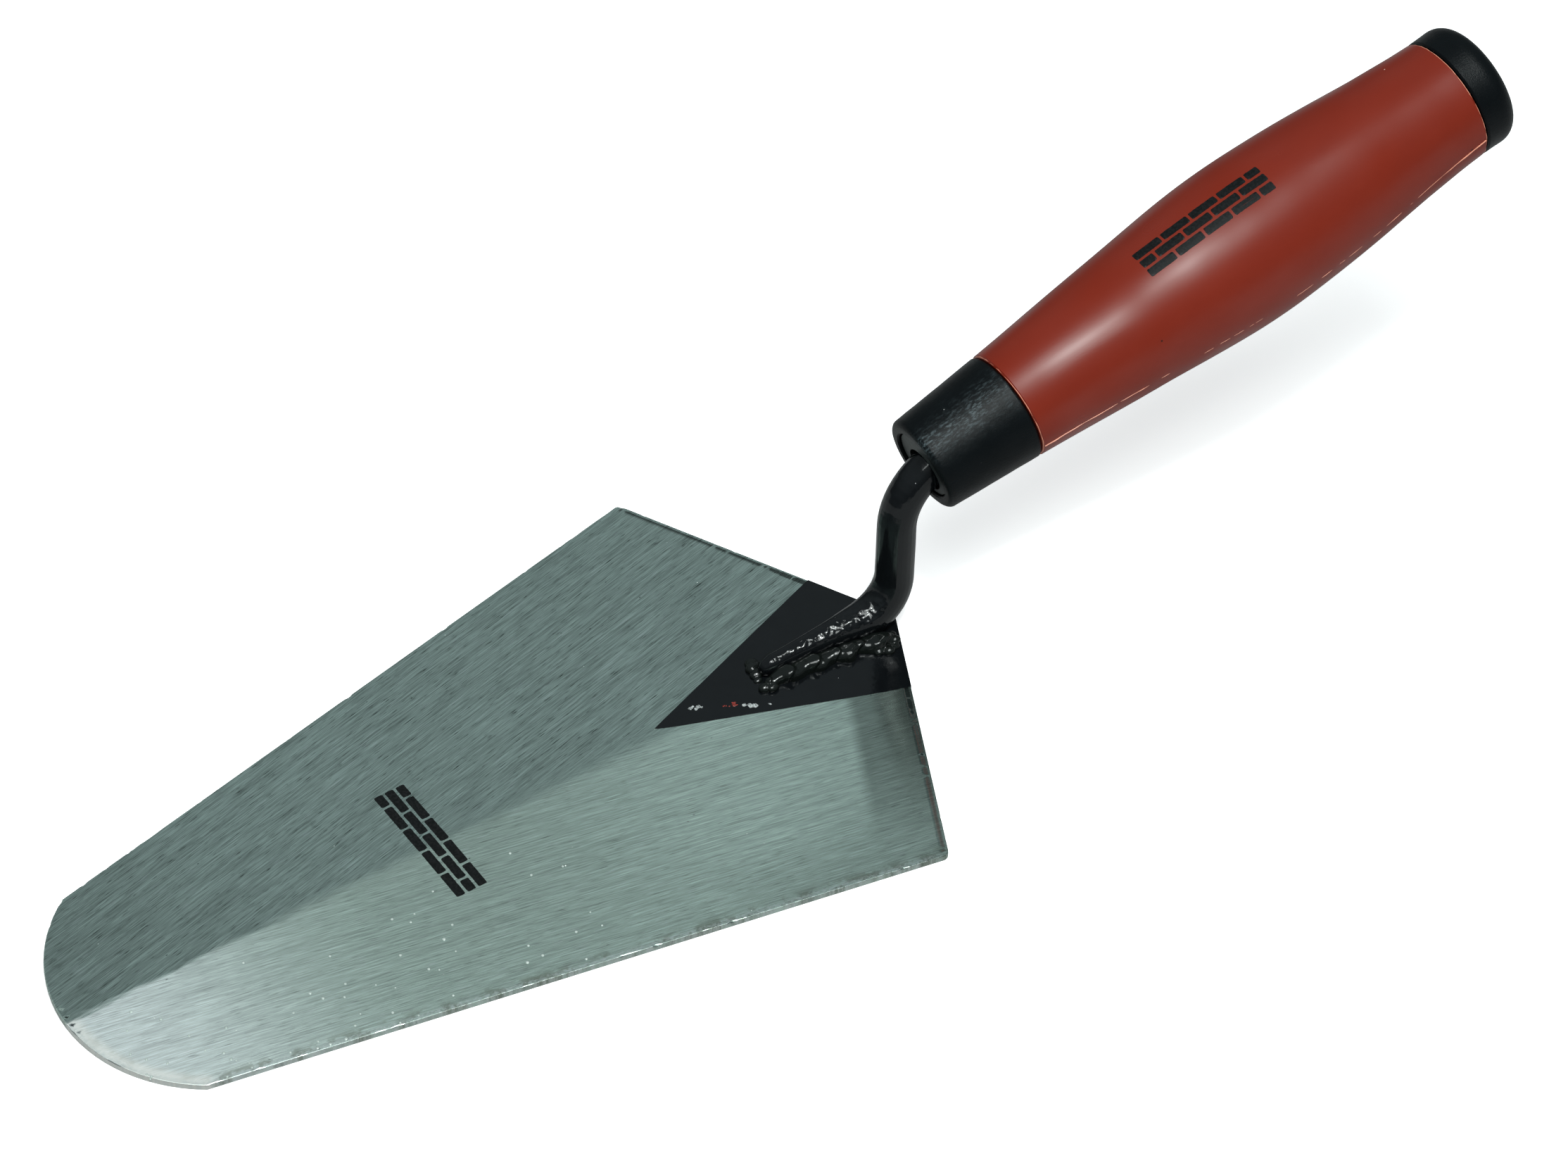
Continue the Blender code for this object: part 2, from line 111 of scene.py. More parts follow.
# Steel. The grinding marks lie at an angle to +Y on each side of the ridge, about mirrored.
NEAR_GRAIN = math.radians(12)
FAR_GRAIN = -NEAR_GRAIN * 1.1
# NOSEWARD spans the painted highlight on the near half's nose and the painted shade on the far half's nose.
NOSEWARD = (-90 * MM, -150 * MM)  # from where to where along Y the tones change towards the nose
HEEL_TURN = math.radians(26.3)  # the heel's edges face this far away from +Y
# The near half's steel colour is darker than the far half's to offset the lamps' highlight on it: painted
# shade.
STEEL_FAR = (0.54, 0.66, 0.60, 1)
STEEL_NEAR = (0.406, 0.505, 0.455, 1)
# painted highlight: the near half's lighter, more neutral colour towards its nose, where the lamps glint
STEEL_NOSE_HIGHLIGHT = (0.450, 0.488, 0.482, 1)
SCRATCH_FAR = (0.80, 0.88, 0.88, 1)
SCRATCH_NEAR = (0.62, 0.68, 0.68, 1)
OLIVE_STAIN = (0.13, 0.145, 0.09, 1)
# burnished nose, whitened further as a painted highlight
BURNISHED_GLINT = (0.98, 0.98, 0.93, 1)
# chipped rim on the near edge, lightened as a painted highlight
CHIPPED_RIM_GLINT = (0.72, 0.78, 0.77, 1)

# Lacquer on the heel.
LACQUER_APEX = (-0.8 * MM, -27.2 * MM)
LACQUER_HALF_WIDTH = 17 * MM
LACQUER_COAT = 0.06 * MM
LACQUER_STEP = 0.35 * MM
LACQUER_BOTTOM = 0.25 * MM
FLAKES = (  # name, whether red, centre, spread, how many, size
    ("flakes_toe", False, (-0.9 * MM, -17.3 * MM), 0.9 * MM, 6, 0.55 * MM),
    ("flakes_red", True, (1.7 * MM, -12.7 * MM), 1.5 * MM, 7, 0.45 * MM),
    ("flakes_heel", False, (4.8 * MM, -8.2 * MM), 1.3 * MM, 8, 0.48 * MM),
)

# Welds. Lumps are (x, y, height over the blade, radius) in mm.
WELD_STEP = 0.13 * MM
WELD_COLUMNS = 33
WELD_PITCH = 5.0 * MM
WELD_BOW = 2.0 * MM
WELD_WANDER = 0.22  # how unevenly its crescents follow each other, as a share of their pitch
WELD_THIN = 0.82  # size between two crescents, and how much more they have at their tops
WELD_HUMP = 0.26
WELD_END = 1.6 * MM
WELD_LEAN = 0.6 * MM  # how far the bead is moved towards the foot, so that it closes up to it
WELD_SPREAD = 1.2
WELD_SINK = 0.25 * MM
WELD_FLATNESS = 0.7  # 1 for an elliptical section; less for a flatter crown
LEFT_SCALE = 0.7
LEFT_LUMPS = (
    (-4.6, -3.0, 0.0, 1.15), (-3.2, -3.6, 0.2, 1.25), (-1.6, -3.9, 0.1, 1.15), (-0.2, -4.4, 0.0, 0.8),
)
RIGHT_LUMPS = (
    (2.3, -4.4, 0.3, 1.1), (3.2, -3.3, 0.5, 1.0),
    (6.6, 18.6, 0.3, 0.9), (7.4, 20.3, 0.3, 1.0), (5.4, 21.2, 0.7, 1.1),
    (7.1, 21.8, 0.1, 0.8), (5.9, 22.5, 0.5, 1.0), (4.4, 23.0, 0.4, 0.8),
)

# Handle.
AROUND = 160
SHARP_ANGLE = math.radians(40)
GENTLE_TURN = math.radians(17)  # corners of a CAD outline that turn less than this are smoothed away
# Where on the collar, round from +X, the pale speckle of its painted highlight band lies.
HIGHLIGHT_BAND_ANGLE = math.radians(70)
HIGHLIGHT_BAND_SPREAD = math.radians(16)
FLASH_STEP = 0.3 * MM
FLASH_DROP = (  # lengths along the handle, and how far below its widest side the mould line lies there
    (20 * MM, 97 * MM, 114 * MM, 126 * MM),
    (math.radians(12.5), math.radians(12.3), math.radians(7.4), math.radians(4.8)),
)

# Printed motif, in mm, and where its first corner lies.
BRICK_WIDTH = 6.0
BRICK_HEIGHT = 1.75
BRICK_JOINT = 0.55
BRICK_CORNER = 0.3
COURSES = 3
INK_RINGS = (  # of each brick: size across and along, and height in mm
    ((1, 1), -0.05), ((1, 1), 0.02), ((0.985, 0.985), 0.035), ((1, 0.5), 0.035), ((1, 0.02), 0.035),
)
PRINT_LENGTH = 53.3 * MM
PRINT_ANGLE = math.radians(70)
PRINT_ON_BLADE = (13.8 * MM, -79 * MM)


# Reading the frame


def points_of(mesh):
    points = np.empty(len(mesh.vertices) * 3)
    mesh.vertices.foreach_get("co", points)
    return points.reshape(-1, 3)


def node_points(name):
    return points_of(frame["nodes"][name].data)


def handle_frame():
    """(origin, along, up) of the handle: its axis at the collar's front, its direction and upper side."""
    points = node_points("grip_sleeve")
    middle = points.mean(axis=0)
    along = np.linalg.svd(points - middle, full_matrices=False)[2][0]
    along = along * np.sign(along[1])
    along[0] = 0
    along = unit(along)
    middle[0] = 0
    start = ((node_points("front_collar") - middle) @ along).min()
    return middle + along * start, along, np.array((0, -along[2], along[1]))


def unit(vector):
    return vector / np.linalg.norm(vector)


ORIGIN, ALONG, UP = handle_frame()
SIDE = np.array((1.0, 0.0, 0.0))
HANDLE_TURN = (math.atan2(ALONG[2], ALONG[1]), 0, 0)


def handle_point(length, radius, angle):
    """Places in the frame, from lengths along the handle, radii and angles from +X to its upper side."""
    length, radius, angle = np.broadcast_arrays(length, radius, angle)
    out = np.multiply.outer(np.cos(angle), SIDE) + np.multiply.outer(np.sin(angle), UP)
    return ORIGIN + np.multiply.outer(length, ALONG) + radius[..., None] * out


def profile_of(name):
    """Closed outline of a turned CAD piece as rows of (length, radius), from its edges on the +X side."""
    mesh = frame["nodes"][name].data
    offset = node_points(name) - ORIGIN
    on_plane = (np.abs(offset @ UP) < 0.02 * MM) & (offset[:, 0] > -0.001 * MM)
    places = {i: (round(offset[i] @ ALONG, 7), round(offset[i, 0], 7)) for i in np.flatnonzero(on_plane)}
    links = {}
    for edge in mesh.edges:
        a, b = (places.get(v) for v in edge.vertices)
        if a is not None and b is not None and a != b:
            links.setdefault(a, set()).add(b)
            links.setdefault(b, set()).add(a)
    start = min(links)
    walk = [start, min(links[start], key=lambda place: -place[1])]
    while True:
        onward = [place for place in links[walk[-1]] if place not in walk[-2:]]
        if not onward or onward[0] in walk:
            return np.array(walk)
        walk.append(onward[0])


# Shapes


def smoothstep(low, high, value):
    t = np.clip((value - low) / (high - low), 0, 1)
    return t * t * (3 - 2 * t)


def noise_at(points, size, seed):
    """Smooth noise between -1 and 1 at each point, with features of about this size."""
    shift = Vector((seed * 7.3, seed * 3.1, seed * 5.7))
    return np.array([noise.noise(Vector(point) / size + shift) for point in points])


def bumps(points, *layers):
    """Heights at each point from layers of noise, each given as (depth in mm, size in mm, seed)."""
    return sum(depth * MM * noise_at(points, size * MM, seed) for depth, size, seed in layers)


def outward(outline):
    """Unit normals of a closed outline in the plane, outwards where it runs anticlockwise."""
    along = np.roll(outline, -1, axis=0) - np.roll(outline, 1, axis=0)
    normals = np.stack([along[:, 1], -along[:, 0]], axis=1)
    return normals / np.linalg.norm(normals, axis=1)[:, None]


def distance_to(points, line):
    """Shortest distance from each point to a polyline given by its points."""
    starts = line[:-1]
    spans = line[1:] - starts
    lengths = (spans**2).sum(axis=1)
    best = np.full(len(points), np.inf)
    for start, span, length in zip(starts, spans, lengths):
        t = np.clip(((points - start) @ span) / length, 0, 1)
        best = np.minimum(best, np.linalg.norm(points - start - t[:, None] * span, axis=1))
    return best


def closed(outline):
    return np.concatenate([outline, outline[:1]])


def is_inside(points, outline):
    """Whether each point lies inside the closed outline, by counting crossings."""
    inside = np.zeros(len(points), bool)
    for (x1, y1), (x2, y2) in zip(outline, np.roll(outline, -1, axis=0)):
        crosses = (y1 > points[:, 1]) != (y2 > points[:, 1])
        if y1 != y2:
            inside ^= crosses & (points[:, 0] < x1 + (x2 - x1) * (points[:, 1] - y1) / (y2 - y1))
    return inside


def grid_inside(outline, columns, lines, inset):
    """Points of this grid that lie inside the outline, at least this far from it."""
    grid = np.stack(np.meshgrid(columns, lines), axis=-1).reshape(-1, 2)
    grid = grid[is_inside(grid, outline)]
    return grid[distance_to(grid, closed(outline)) > inset]


def filled(outline, extra):
    """Triangles over the outline and the extra points, as rows of indices into both joined."""
    points = [Vector(point) for point in np.concatenate([outline, extra])]
    ring = list(range(len(outline)))
    made = geometry.delaunay_2d_cdt(points, [], [ring], 1, 1e-7, True)
    faces, origins = made[2:4]
    source = [origin[0] for origin in origins]
    return [[source[i] for i in face] for face in faces]


def bands(first, around, rings):
    """Faces between neighbouring rings of points that are numbered one after another, from first on."""
    faces = []
    for start in range(first, first + (rings - 1) * around, around):
        for i in range(around):
            j = (i + 1) % around
            faces.append([start + i, start + j, start + around + j, start + around + i])
    return faces


def mesh_from(vertices, faces):
    """Mesh with its faces turned outwards."""
    mesh = bpy.data.meshes.new("mesh")
    mesh.from_pydata([tuple(vertex) for vertex in vertices], [], faces)
    bm = bmesh.new()
    bm.from_mesh(mesh)
    bmesh.ops.recalc_face_normals(bm, faces=bm.faces)
    bm.to_mesh(mesh)
    bm.free()
    return mesh


def tube(rings, joined=False):
    """Mesh through rings of points. Its ends are closed by faces, or joined to each other."""
    count, around = rings.shape[:2]
    if joined:
        total = count * around
        faces = [[i % total for i in face] for face in bands(0, around, count + 1)]
    else:
        faces = [list(range(around)), [(count - 1) * around + i for i in range(around)]]
        faces += bands(0, around, count)
    return mesh_from(rings.reshape(-1, 3), faces)


def balls(places, subdivisions, start=None):
    """Mesh of balls, each given as the matrix that makes it from a unit ball, added to a start mesh."""
    bm = bmesh.new()
    if start:
        bm.from_mesh(start)
    for matrix in places:
        bmesh.ops.create_icosphere(bm, subdivisions=subdivisions, radius=1, matrix=matrix)
    mesh = bpy.data.meshes.new("balls")
    bm.to_mesh(mesh)
    bm.free()
    return mesh


def squashed(place, radii, turn=0.0):
    matrix = Matrix.Translation(place) @ Matrix.Rotation(turn, 4, "Z")
    return matrix @ Matrix.Diagonal((*radii, 1))


def new_object(name, data):
    made = bpy.data.objects.new(name, data)
    bpy.context.scene.collection.objects.link(made)
    return made


def remeshed(mesh, voxel, smoothing):
    """One even skin round everything in the mesh."""
    obj = new_object("working_copy", mesh)
    remesh = obj.modifiers.new("remesh", "REMESH")
    remesh.mode = "VOXEL"
    remesh.voxel_size = voxel
    remesh.use_smooth_shade = True
    smooth = obj.modifiers.new("smooth", "SMOOTH")
    smooth.factor = 0.5
    smooth.iterations = smoothing
    graph = bpy.context.evaluated_depsgraph_get()
    made = bpy.data.meshes.new_from_object(obj.evaluated_get(graph))
    bpy.data.objects.remove(obj)
    return made


def normals_of(mesh):
    return np.array([normal.vector for normal in mesh.vertex_normals])


def displace(mesh, relief):
    """Move each vertex along its normal by relief(points, normals)."""
    points = points_of(mesh)
    normals = normals_of(mesh)
    points = points + normals * relief(points, normals)[:, None]
    mesh.vertices.foreach_set("co", points.ravel())
    mesh.update()


def store_values(mesh, name, values):
    attribute = mesh.attributes.new(name, "FLOAT", "POINT")
    attribute.data.foreach_set("value", np.asarray(values, np.float32))


def refined(profile, step):
    """Closed outline with extra points: its gentle runs become smooth curves, and its corners stay."""
    entering = profile - np.roll(profile, 1, axis=0)
    leaving = np.roll(profile, -1, axis=0) - profile
    crossed = entering[:, 0] * leaving[:, 1] - entering[:, 1] * leaving[:, 0]
    gentle = np.abs(np.arctan2(crossed, (entering * leaving).sum(axis=1))) < GENTLE_TURN
    count = len(profile)
    points = []
    for i in range(count):
        j = (i + 1) % count
        chord = leaving[i]
        span = np.linalg.norm(chord)
        steps = max(1, round(span / step))
        start = unit(entering[i] + chord) * span if gentle[i] else chord
        end = unit(entering[j] + leaving[j]) * span if gentle[j] else chord
        for t in np.arange(steps) / steps:
            bend = t * (1 - t) * ((1 - t) * (start - chord) + t * (chord - end))
            points.append(profile[i] + t * chord + bend)
    return np.array(points)


def turned(node, step, *relief):
    """Mesh of a turned CAD piece with finer steps. Layers of noise, as for bumps, add to its radius."""
    angles = np.arange(AROUND) * 2 * math.pi / AROUND
    rows = []
    vertices = []
    for length, radius in refined(profile_of(node), step):
        first = sum(len(row) for row in vertices)
        if radius < 0.01 * MM:
            vertices.append(handle_point(length, 0, np.zeros(1)))
            rows.append([first] * AROUND)
            continue
        radii = radius + bumps(handle_point(length, radius, angles), *relief)
        vertices.append(handle_point(length, radii, angles))
        rows.append([first + k for k in range(AROUND)])
    faces = []
    for near, far in zip(rows, rows[1:] + rows[:1]):
        for k in range(AROUND):
            m = (k + 1) % AROUND
            corners = list(dict.fromkeys((near[k], near[m], far[m], far[k])))
            if len(corners) > 2:
                faces.append(corners)
    return mesh_from(np.concatenate(vertices), faces)


def add_piece(name, mesh, material, replaces=()):
    """Put a finished mesh on the trowel as a piece that rides on its body."""
    mesh.name = name
    mesh.materials.clear()
    mesh.materials.append(material)
    mesh.shade_smooth()
    mesh.set_sharp_from_angle(angle=SHARP_ANGLE)
    obj = new_object(name, mesh)
    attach(obj, BODY)
    if replaces:
        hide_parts(*replaces)


# Materials


class Shader:
    """One material, or a world, and short ways to build its nodes."""

    def __init__(self, name, world=False):
        self.owner = (bpy.data.worlds if world else bpy.data.materials).new(name)
        self.owner.use_nodes = True
        self.nodes = self.owner.node_tree.nodes
        self.last = self.nodes["Background" if world else "Principled BSDF"]
        self.place = self.add("ShaderNodeTexCoord").outputs["Generated" if world else "Object"]

    def put(self, sockets, values):
        """Link or set each socket."""
        for socket, value in zip(sockets, values):
            if isinstance(value, bpy.types.NodeSocket):
                self.owner.node_tree.links.new(value, socket)
            elif value is not None:
                socket.default_value = value

    def add(self, kind, settings=None, **inputs):
        """New node. Settings are its properties, and inputs fill sockets by name, with _ for a space."""
        made = self.nodes.new(kind)
        for key, value in (settings or {}).items():
            setattr(made, key, value)
        self.fill(made, inputs)
        return made

    def fill(self, made, inputs):
        self.put([made.inputs[key.replace("_", " ")] for key in inputs], inputs.values())

    def math(self, operation, *values):
        made = self.add("ShaderNodeMath", {"operation": operation})
        self.put(made.inputs, values)
        return made.outputs[0]

    def times(self, product, *factors):
        for factor in factors:
            product = self.math("MULTIPLY", product, factor)
        return product

    def linear(self, value, slope, offset):
        return self.math("MULTIPLY_ADD", value, slope, offset)

    def ramp(self, value, low, high, start=0.0, end=1.0):
        """Smooth change from start to end while value goes from low to high."""
        made = self.add("ShaderNodeMapRange", {"interpolation_type": "SMOOTHSTEP"})
        self.put(made.inputs, (value, low, high, start, end))
        return made.outputs[0]

    def mix(self, share, first, second):
        """Colour between the two."""
        made = self.add("ShaderNodeMix", {"data_type": "RGBA"})
        self.put((made.inputs[0], *made.inputs[6:8]), (share, first, second))
        return made.outputs[2]

    def scaled(self, size, turn=(0, 0, 0), origin=(0, 0, 0)):
        """Object coordinates in a turned frame, divided by a size in mm, or by one for each direction."""
        sizes = size if isinstance(size, tuple) else (size, size, size)
        made = self.add("ShaderNodeMapping", {"vector_type": "TEXTURE"}, Rotation=turn, Vector=self.place)
        made.inputs["Location"].default_value = [place * MM for place in origin]
        made.inputs["Scale"].default_value = [size * MM for size in sizes]
        return made.outputs[0]

    def noise(self, size, detail=2.0, roughness=0.5, **frame):
        """Soft noise with features of this size in mm. Its frame may have a turn, and an origin in mm."""
        vector = self.scaled(size, **frame)
        made = self.add("ShaderNodeTexNoise", Vector=vector, Scale=1.0, Detail=detail, Roughness=roughness)
        return made.outputs["Fac"]

    def specks(self, size, radius, rarity, **frame):
        """1 on scattered dots: one in each cell of this size in mm whose random value is above rarity."""
        made = self.add("ShaderNodeTexVoronoi", Vector=self.scaled(size, **frame), Scale=1.0)
        chosen = self.math("GREATER_THAN", self.split(made.outputs["Color"])[0], rarity)
        return self.times(chosen, self.ramp(made.outputs["Distance"], radius, radius * 0.6))

    def split(self, vector):
        return self.add("ShaderNodeSeparateXYZ", Vector=vector).outputs

    def value_of(self, name):
        return self.add("ShaderNodeAttribute", {"attribute_name": name}).outputs["Fac"]

    def bump(self, height, distance, strength=1.0, normal=None):
        made = self.add("ShaderNodeBump", Height=height, Distance=distance, Strength=strength, Normal=normal)
        return made.outputs[0]

    def finish(self, **inputs):
        self.fill(self.last, inputs)
        return self.owner


def grey(value):
    return (value, value, value, 1)


def blade_halves(shader):
    """(x, y, near): near is 0 on the blade's far half and 1 on its near half, blurred along the ridge."""
    x, y = shader.split(shader.place)[:2]
    wander = shader.noise((1.2, 9, 1000), 3)
    centre = shader.math("SUBTRACT", shader.linear(wander, 3 * MM, x), 1.5 * MM)
    half_width = shader.ramp(y, -150 * MM, -20 * MM, 0.7 * MM, 4 * MM)
    return x, y, shader.ramp(shader.math("DIVIDE", centre, half_width), -1, 1)


def grain(shader, turn):
    """Grinding marks at this angle to +Y, clockwise from above: (tone, bright scratches, pits)."""
    spin = (0, 0, -turn)
    fine = shader.noise((0.15, 6, 1000), 2, 0.6, turn=spin)
    hairs = shader.noise((0.32, 13, 1000), 3, 0.7, turn=spin, origin=(7, 0, 0))
    broad = shader.noise((1.6, 30, 1000), turn=spin, origin=(5, 0, 0))
    light_dash = shader.noise((0.17, 3.8, 1000), turn=spin, origin=(0, 9, 0))
    dark_dash = shader.noise((0.18, 3.4, 1000), turn=spin, origin=(0, 47, 0))
    tone = shader.times(
        shader.linear(fine, 1.1, 0.45),
        shader.linear(hairs, 1.1, 0.45),
        shader.linear(broad, 0.3, 0.85),
    )
    tone = shader.math("SUBTRACT", tone, shader.ramp(dark_dash, 0.60, 0.74, 0, 0.6))
    pits = shader.specks((1.1, 2.6, 1000), 0.10, 0.955, turn=spin)
    return tone, shader.ramp(light_dash, 0.58, 0.72), pits


def near_painted_light(shader, x, y):
    """Painted light on the near half: a painted highlight towards its nose and before its heel, and a
    painted reflection of the handle, a dimmer band along the heel's edge.
    """
    # painted highlight: the near half lightens towards its nose
    to_nose = shader.ramp(y, *NOSEWARD, 1, 1.55)
    to_edge = shader.ramp(x, 8 * MM, 60 * MM, 1.06, 1.14)
    heelward = shader.linear(y, math.cos(HEEL_TURN), shader.times(x, math.sin(HEEL_TURN)))
    by_heel = shader.ramp(heelward, 10.5 * MM, 13.5 * MM)
    # painted highlight: the near half lightens before its heel
    lift = shader.times(
        shader.ramp(y, -75 * MM, -10 * MM),
        shader.ramp(x, 52 * MM, 24 * MM, 0, 0.4),
        shader.math("SUBTRACT", 1, by_heel),
    )
    # painted reflection of the neck and handle: a darker band along the heel's edge
    dim = shader.times(by_heel, shader.ramp(x, 52 * MM, 26 * MM, 0, -0.3))
    return shader.times(to_nose, to_edge, shader.math("ADD", shader.math("ADD", lift, dim), 1))


def stain_and_glint(shader, colour, y, near, blotch):
    """Olive stains along the near edge, and a burnished nose on the near half, whitened further as a painted
    highlight.
    """
    stain = shader.times(
        shader.ramp(shader.value_of("edge_distance"), 3 * MM, 0.6 * MM),
        shader.ramp(blotch, 0.46, 0.58),
        near,
        shader.ramp(y, 3 * MM, -3 * MM, 0, 0.6),
    )
    ragged = shader.linear(blotch, 2 * MM, shader.value_of("nose_distance"))
    # painted highlight: the near half's nose whitened, over some burnish
    burnish_glint = shader.times(shader.ramp(ragged, 4.4 * MM, 1.7 * MM), near, 0.9)
    return shader.mix(burnish_glint, shader.mix(stain, colour, OLIVE_STAIN), BURNISHED_GLINT)


def chips_and_glint(shader, colour, y, near):
    """Bright crumbs along the near edge: chipped metal, lightened as a painted highlight of the lit rim."""
    crumb = shader.noise((0.5, 0.8, 1000), 3, 0.7)
    # painted highlight: pale crumbs along the lit near rim
    rim = shader.times(
        shader.ramp(shader.value_of("edge_distance"), 1.5 * MM, 0.6 * MM),
        shader.ramp(crumb, 0.42, 0.6, 0.1, 0.6),
        near,
        shader.ramp(y, 0, -3 * MM),
    )
    return shader.mix(rim, colour, CHIPPED_RIM_GLINT)


def steel_material():
    """Ground steel: marks parallel to each side's edge, so the two halves shine differently."""
    shader = Shader("ground_steel")
    x, y, near = blade_halves(shader)
    far_tone, far_bright, far_pits = grain(shader, FAR_GRAIN)
    near_tone, near_bright, near_pits = grain(shader, NEAR_GRAIN)
    near_tone = shader.times(near_tone, near_painted_light(shader, x, y))
    far_tone = shader.linear(far_tone, 1.5, -0.5)
    # painted shade: the far half darkens towards its nose
    far_tone = shader.times(far_tone, shader.ramp(y, *NOSEWARD, 1.07, 0.87))
    tone = shader.mix(near, far_tone, near_tone)
    pits = shader.mix(near, far_pits, near_pits)
    bright = shader.times(shader.mix(near, far_bright, near_bright), 0.45)

    # painted highlight: the near half's colour turns to the lighter nose colour towards the nose
    steel = shader.mix(near, STEEL_FAR, shader.mix(shader.ramp(y, *NOSEWARD), STEEL_NEAR, STEEL_NOSE_HIGHLIGHT))
    colour = shader.add("ShaderNodeVectorMath", {"operation": "SCALE"}, Vector=steel, Scale=tone).outputs[0]
    colour = shader.mix(bright, colour, shader.mix(near, SCRATCH_FAR, SCRATCH_NEAR))
    blotch = shader.noise((4, 6, 1000), 4, 0.65)
    colour = stain_and_glint(shader, colour, y, near, blotch)
    colour = shader.mix(shader.times(pits, 0.9), colour, (0.01, 0.012, 0.012, 1))
    colour = chips_and_glint(shader, colour, y, near)
    dust = shader.specks((3.1, 3.7, 4), 0.04, 0.75)
    dust = shader.times(dust, shader.ramp(blotch, 0.4, 0.6))
    return shader.finish(
        Base_Color=shader.mix(dust, colour, (0.6, 0.65, 0.63, 1)),
        Metallic=shader.math("SUBTRACT", 1, shader.times(dust, 0.9)),
        Roughness=0.22,
        Anisotropic=0.96,
        Tangent=tangent_across_grain(shader, near),
        Normal=shader.bump(pits, 0.006 * MM, 0.5),
    )


def tangent_across_grain(shader, near):
    """Direction in the blade's plane across the grinding marks, turned over from one half to the other."""
    made = shader.add("ShaderNodeMix", {"data_type": "VECTOR"})
    far_across, near_across = ((math.cos(turn), -math.sin(turn), 0) for turn in (FAR_GRAIN, NEAR_GRAIN))
    shader.put((made.inputs[0], *made.inputs[4:6]), (near, far_across, near_across))
    settings = {"vector_type": "VECTOR", "convert_from": "OBJECT", "convert_to": "WORLD"}
    return shader.add("ShaderNodeVectorTransform", settings, Vector=made.outputs[1]).outputs[0]


def lacquer_material(name, roughness, ripple, light):
    """Glossy black lacquer with orange peel and a little dust, over hammered metal where a mesh says so."""
    shader = Shader(name)
    peel = shader.noise(1.6, 3)
    smear = shader.noise(5, 4, 0.65)
    dust = shader.specks(2.6, 0.045, 0.9)
    colour = shader.mix(smear, (0.0022, 0.0027, 0.0033, 1), light)
    crinkle = shader.times(shader.noise(0.7), shader.value_of("hammered"))
    return shader.finish(
        Base_Color=shader.mix(shader.times(dust, 0.6), colour, grey(0.5)),
        Roughness=shader.ramp(smear, 0.3, 0.7, roughness * 0.75, roughness * 1.4),
        Specular_IOR_Level=0.4,
        Normal=shader.bump(crinkle, 0.06 * MM, 1.0, shader.bump(peel, ripple)),
    )


def rubber_material():
    """Satin black moulding with a fine grain, a pale speckled painted highlight where a mesh says so, and
    dust.
    """
    shader = Shader("black_rubber")
    pores = shader.noise(0.3, 3, 0.7)
    cloud = shader.noise((4, 7, 4), 4, 0.6, turn=HANDLE_TURN)
    scratches = shader.noise((0.42, 1.5, 0.42), 4, 0.75, turn=HANDLE_TURN)
    # painted highlight: pale speckle along the collar's lit band
    lit_band = shader.times(shader.value_of("highlight_band"), shader.ramp(cloud, 0.3, 0.6, 0.35, 1))
    painted_highlight = shader.times(shader.ramp(scratches, 0.46, 0.66), lit_band, 0.75)
    colour = shader.mix(cloud, (0.0015, 0.0023, 0.0028, 1), (0.004, 0.0055, 0.0065, 1))
    colour = shader.mix(painted_highlight, colour, (0.085, 0.11, 0.12, 1))
    dust = shader.specks(3.3, 0.04, 0.88)
    height = shader.linear(scratches, 0.8, pores)
    return shader.finish(
        Base_Color=shader.mix(dust, colour, grey(0.35)),
        Roughness=shader.linear(pores, 0.16, 0.24),
        Specular_IOR_Level=0.10,
        Normal=shader.bump(height, 0.08 * MM, 0.7),
    )


def plastic_material():
    """Hard dark plastic with moulding marks."""
    shader = Shader("hard_plastic")
    marks = shader.noise((1.1, 0.5, 1.1), 4, 0.6)
    colour = shader.mix(marks, (0.006, 0.007, 0.008, 1), (0.03, 0.036, 0.036, 1))
    return shader.finish(Base_Color=colour, Roughness=0.45, Normal=shader.bump(marks, 0.08 * MM))


def grip_material(name, dark, light):
    """Satin terracotta soft grip: faint mottling, flow marks along the handle, dust and dark grit."""
    shader = Shader(name)
    mottle = shader.noise((9, 16, 9), 4, 0.6, turn=HANDLE_TURN)
    flow = shader.noise((0.8, 9, 0.8), 3, 0.6, turn=HANDLE_TURN)
    skin = shader.noise(0.22)
    gloss = shader.noise((11, 15, 11), 1, turn=HANDLE_TURN, origin=(0, 4, 0))
    dust = shader.specks(4.4, 0.045, 0.72)
    grit = shader.specks(5.6, 0.05, 0.80, origin=(2, 1, 0))
    colour = shader.mix(mottle, dark, light)
    colour = shader.mix(shader.times(shader.ramp(flow, 0.55, 0.8), 0.25), colour, light)
    colour = shader.mix(dust, colour, (0.85, 0.62, 0.52, 1))
    height = shader.linear(flow, 0.8, skin)
    return shader.finish(
        Base_Color=shader.mix(grit, colour, (0.02, 0.008, 0.006, 1)),
        Roughness=shader.linear(gloss, -0.30, 0.485),
        Specular_IOR_Level=shader.linear(gloss, 0.50, 0.01),
        Normal=shader.bump(height, 0.012 * MM, 0.5),
    )


def drop_material():
    """Dried drops of clear lacquer over steel."""
    shader = Shader("dried_drops")
    tint = shader.noise(2)
    colour = shader.mix(tint, (0.34, 0.40, 0.37, 1), (0.60, 0.66, 0.63, 1))
    return shader.finish(Base_Color=colour, Metallic=0.2, Roughness=0.14)


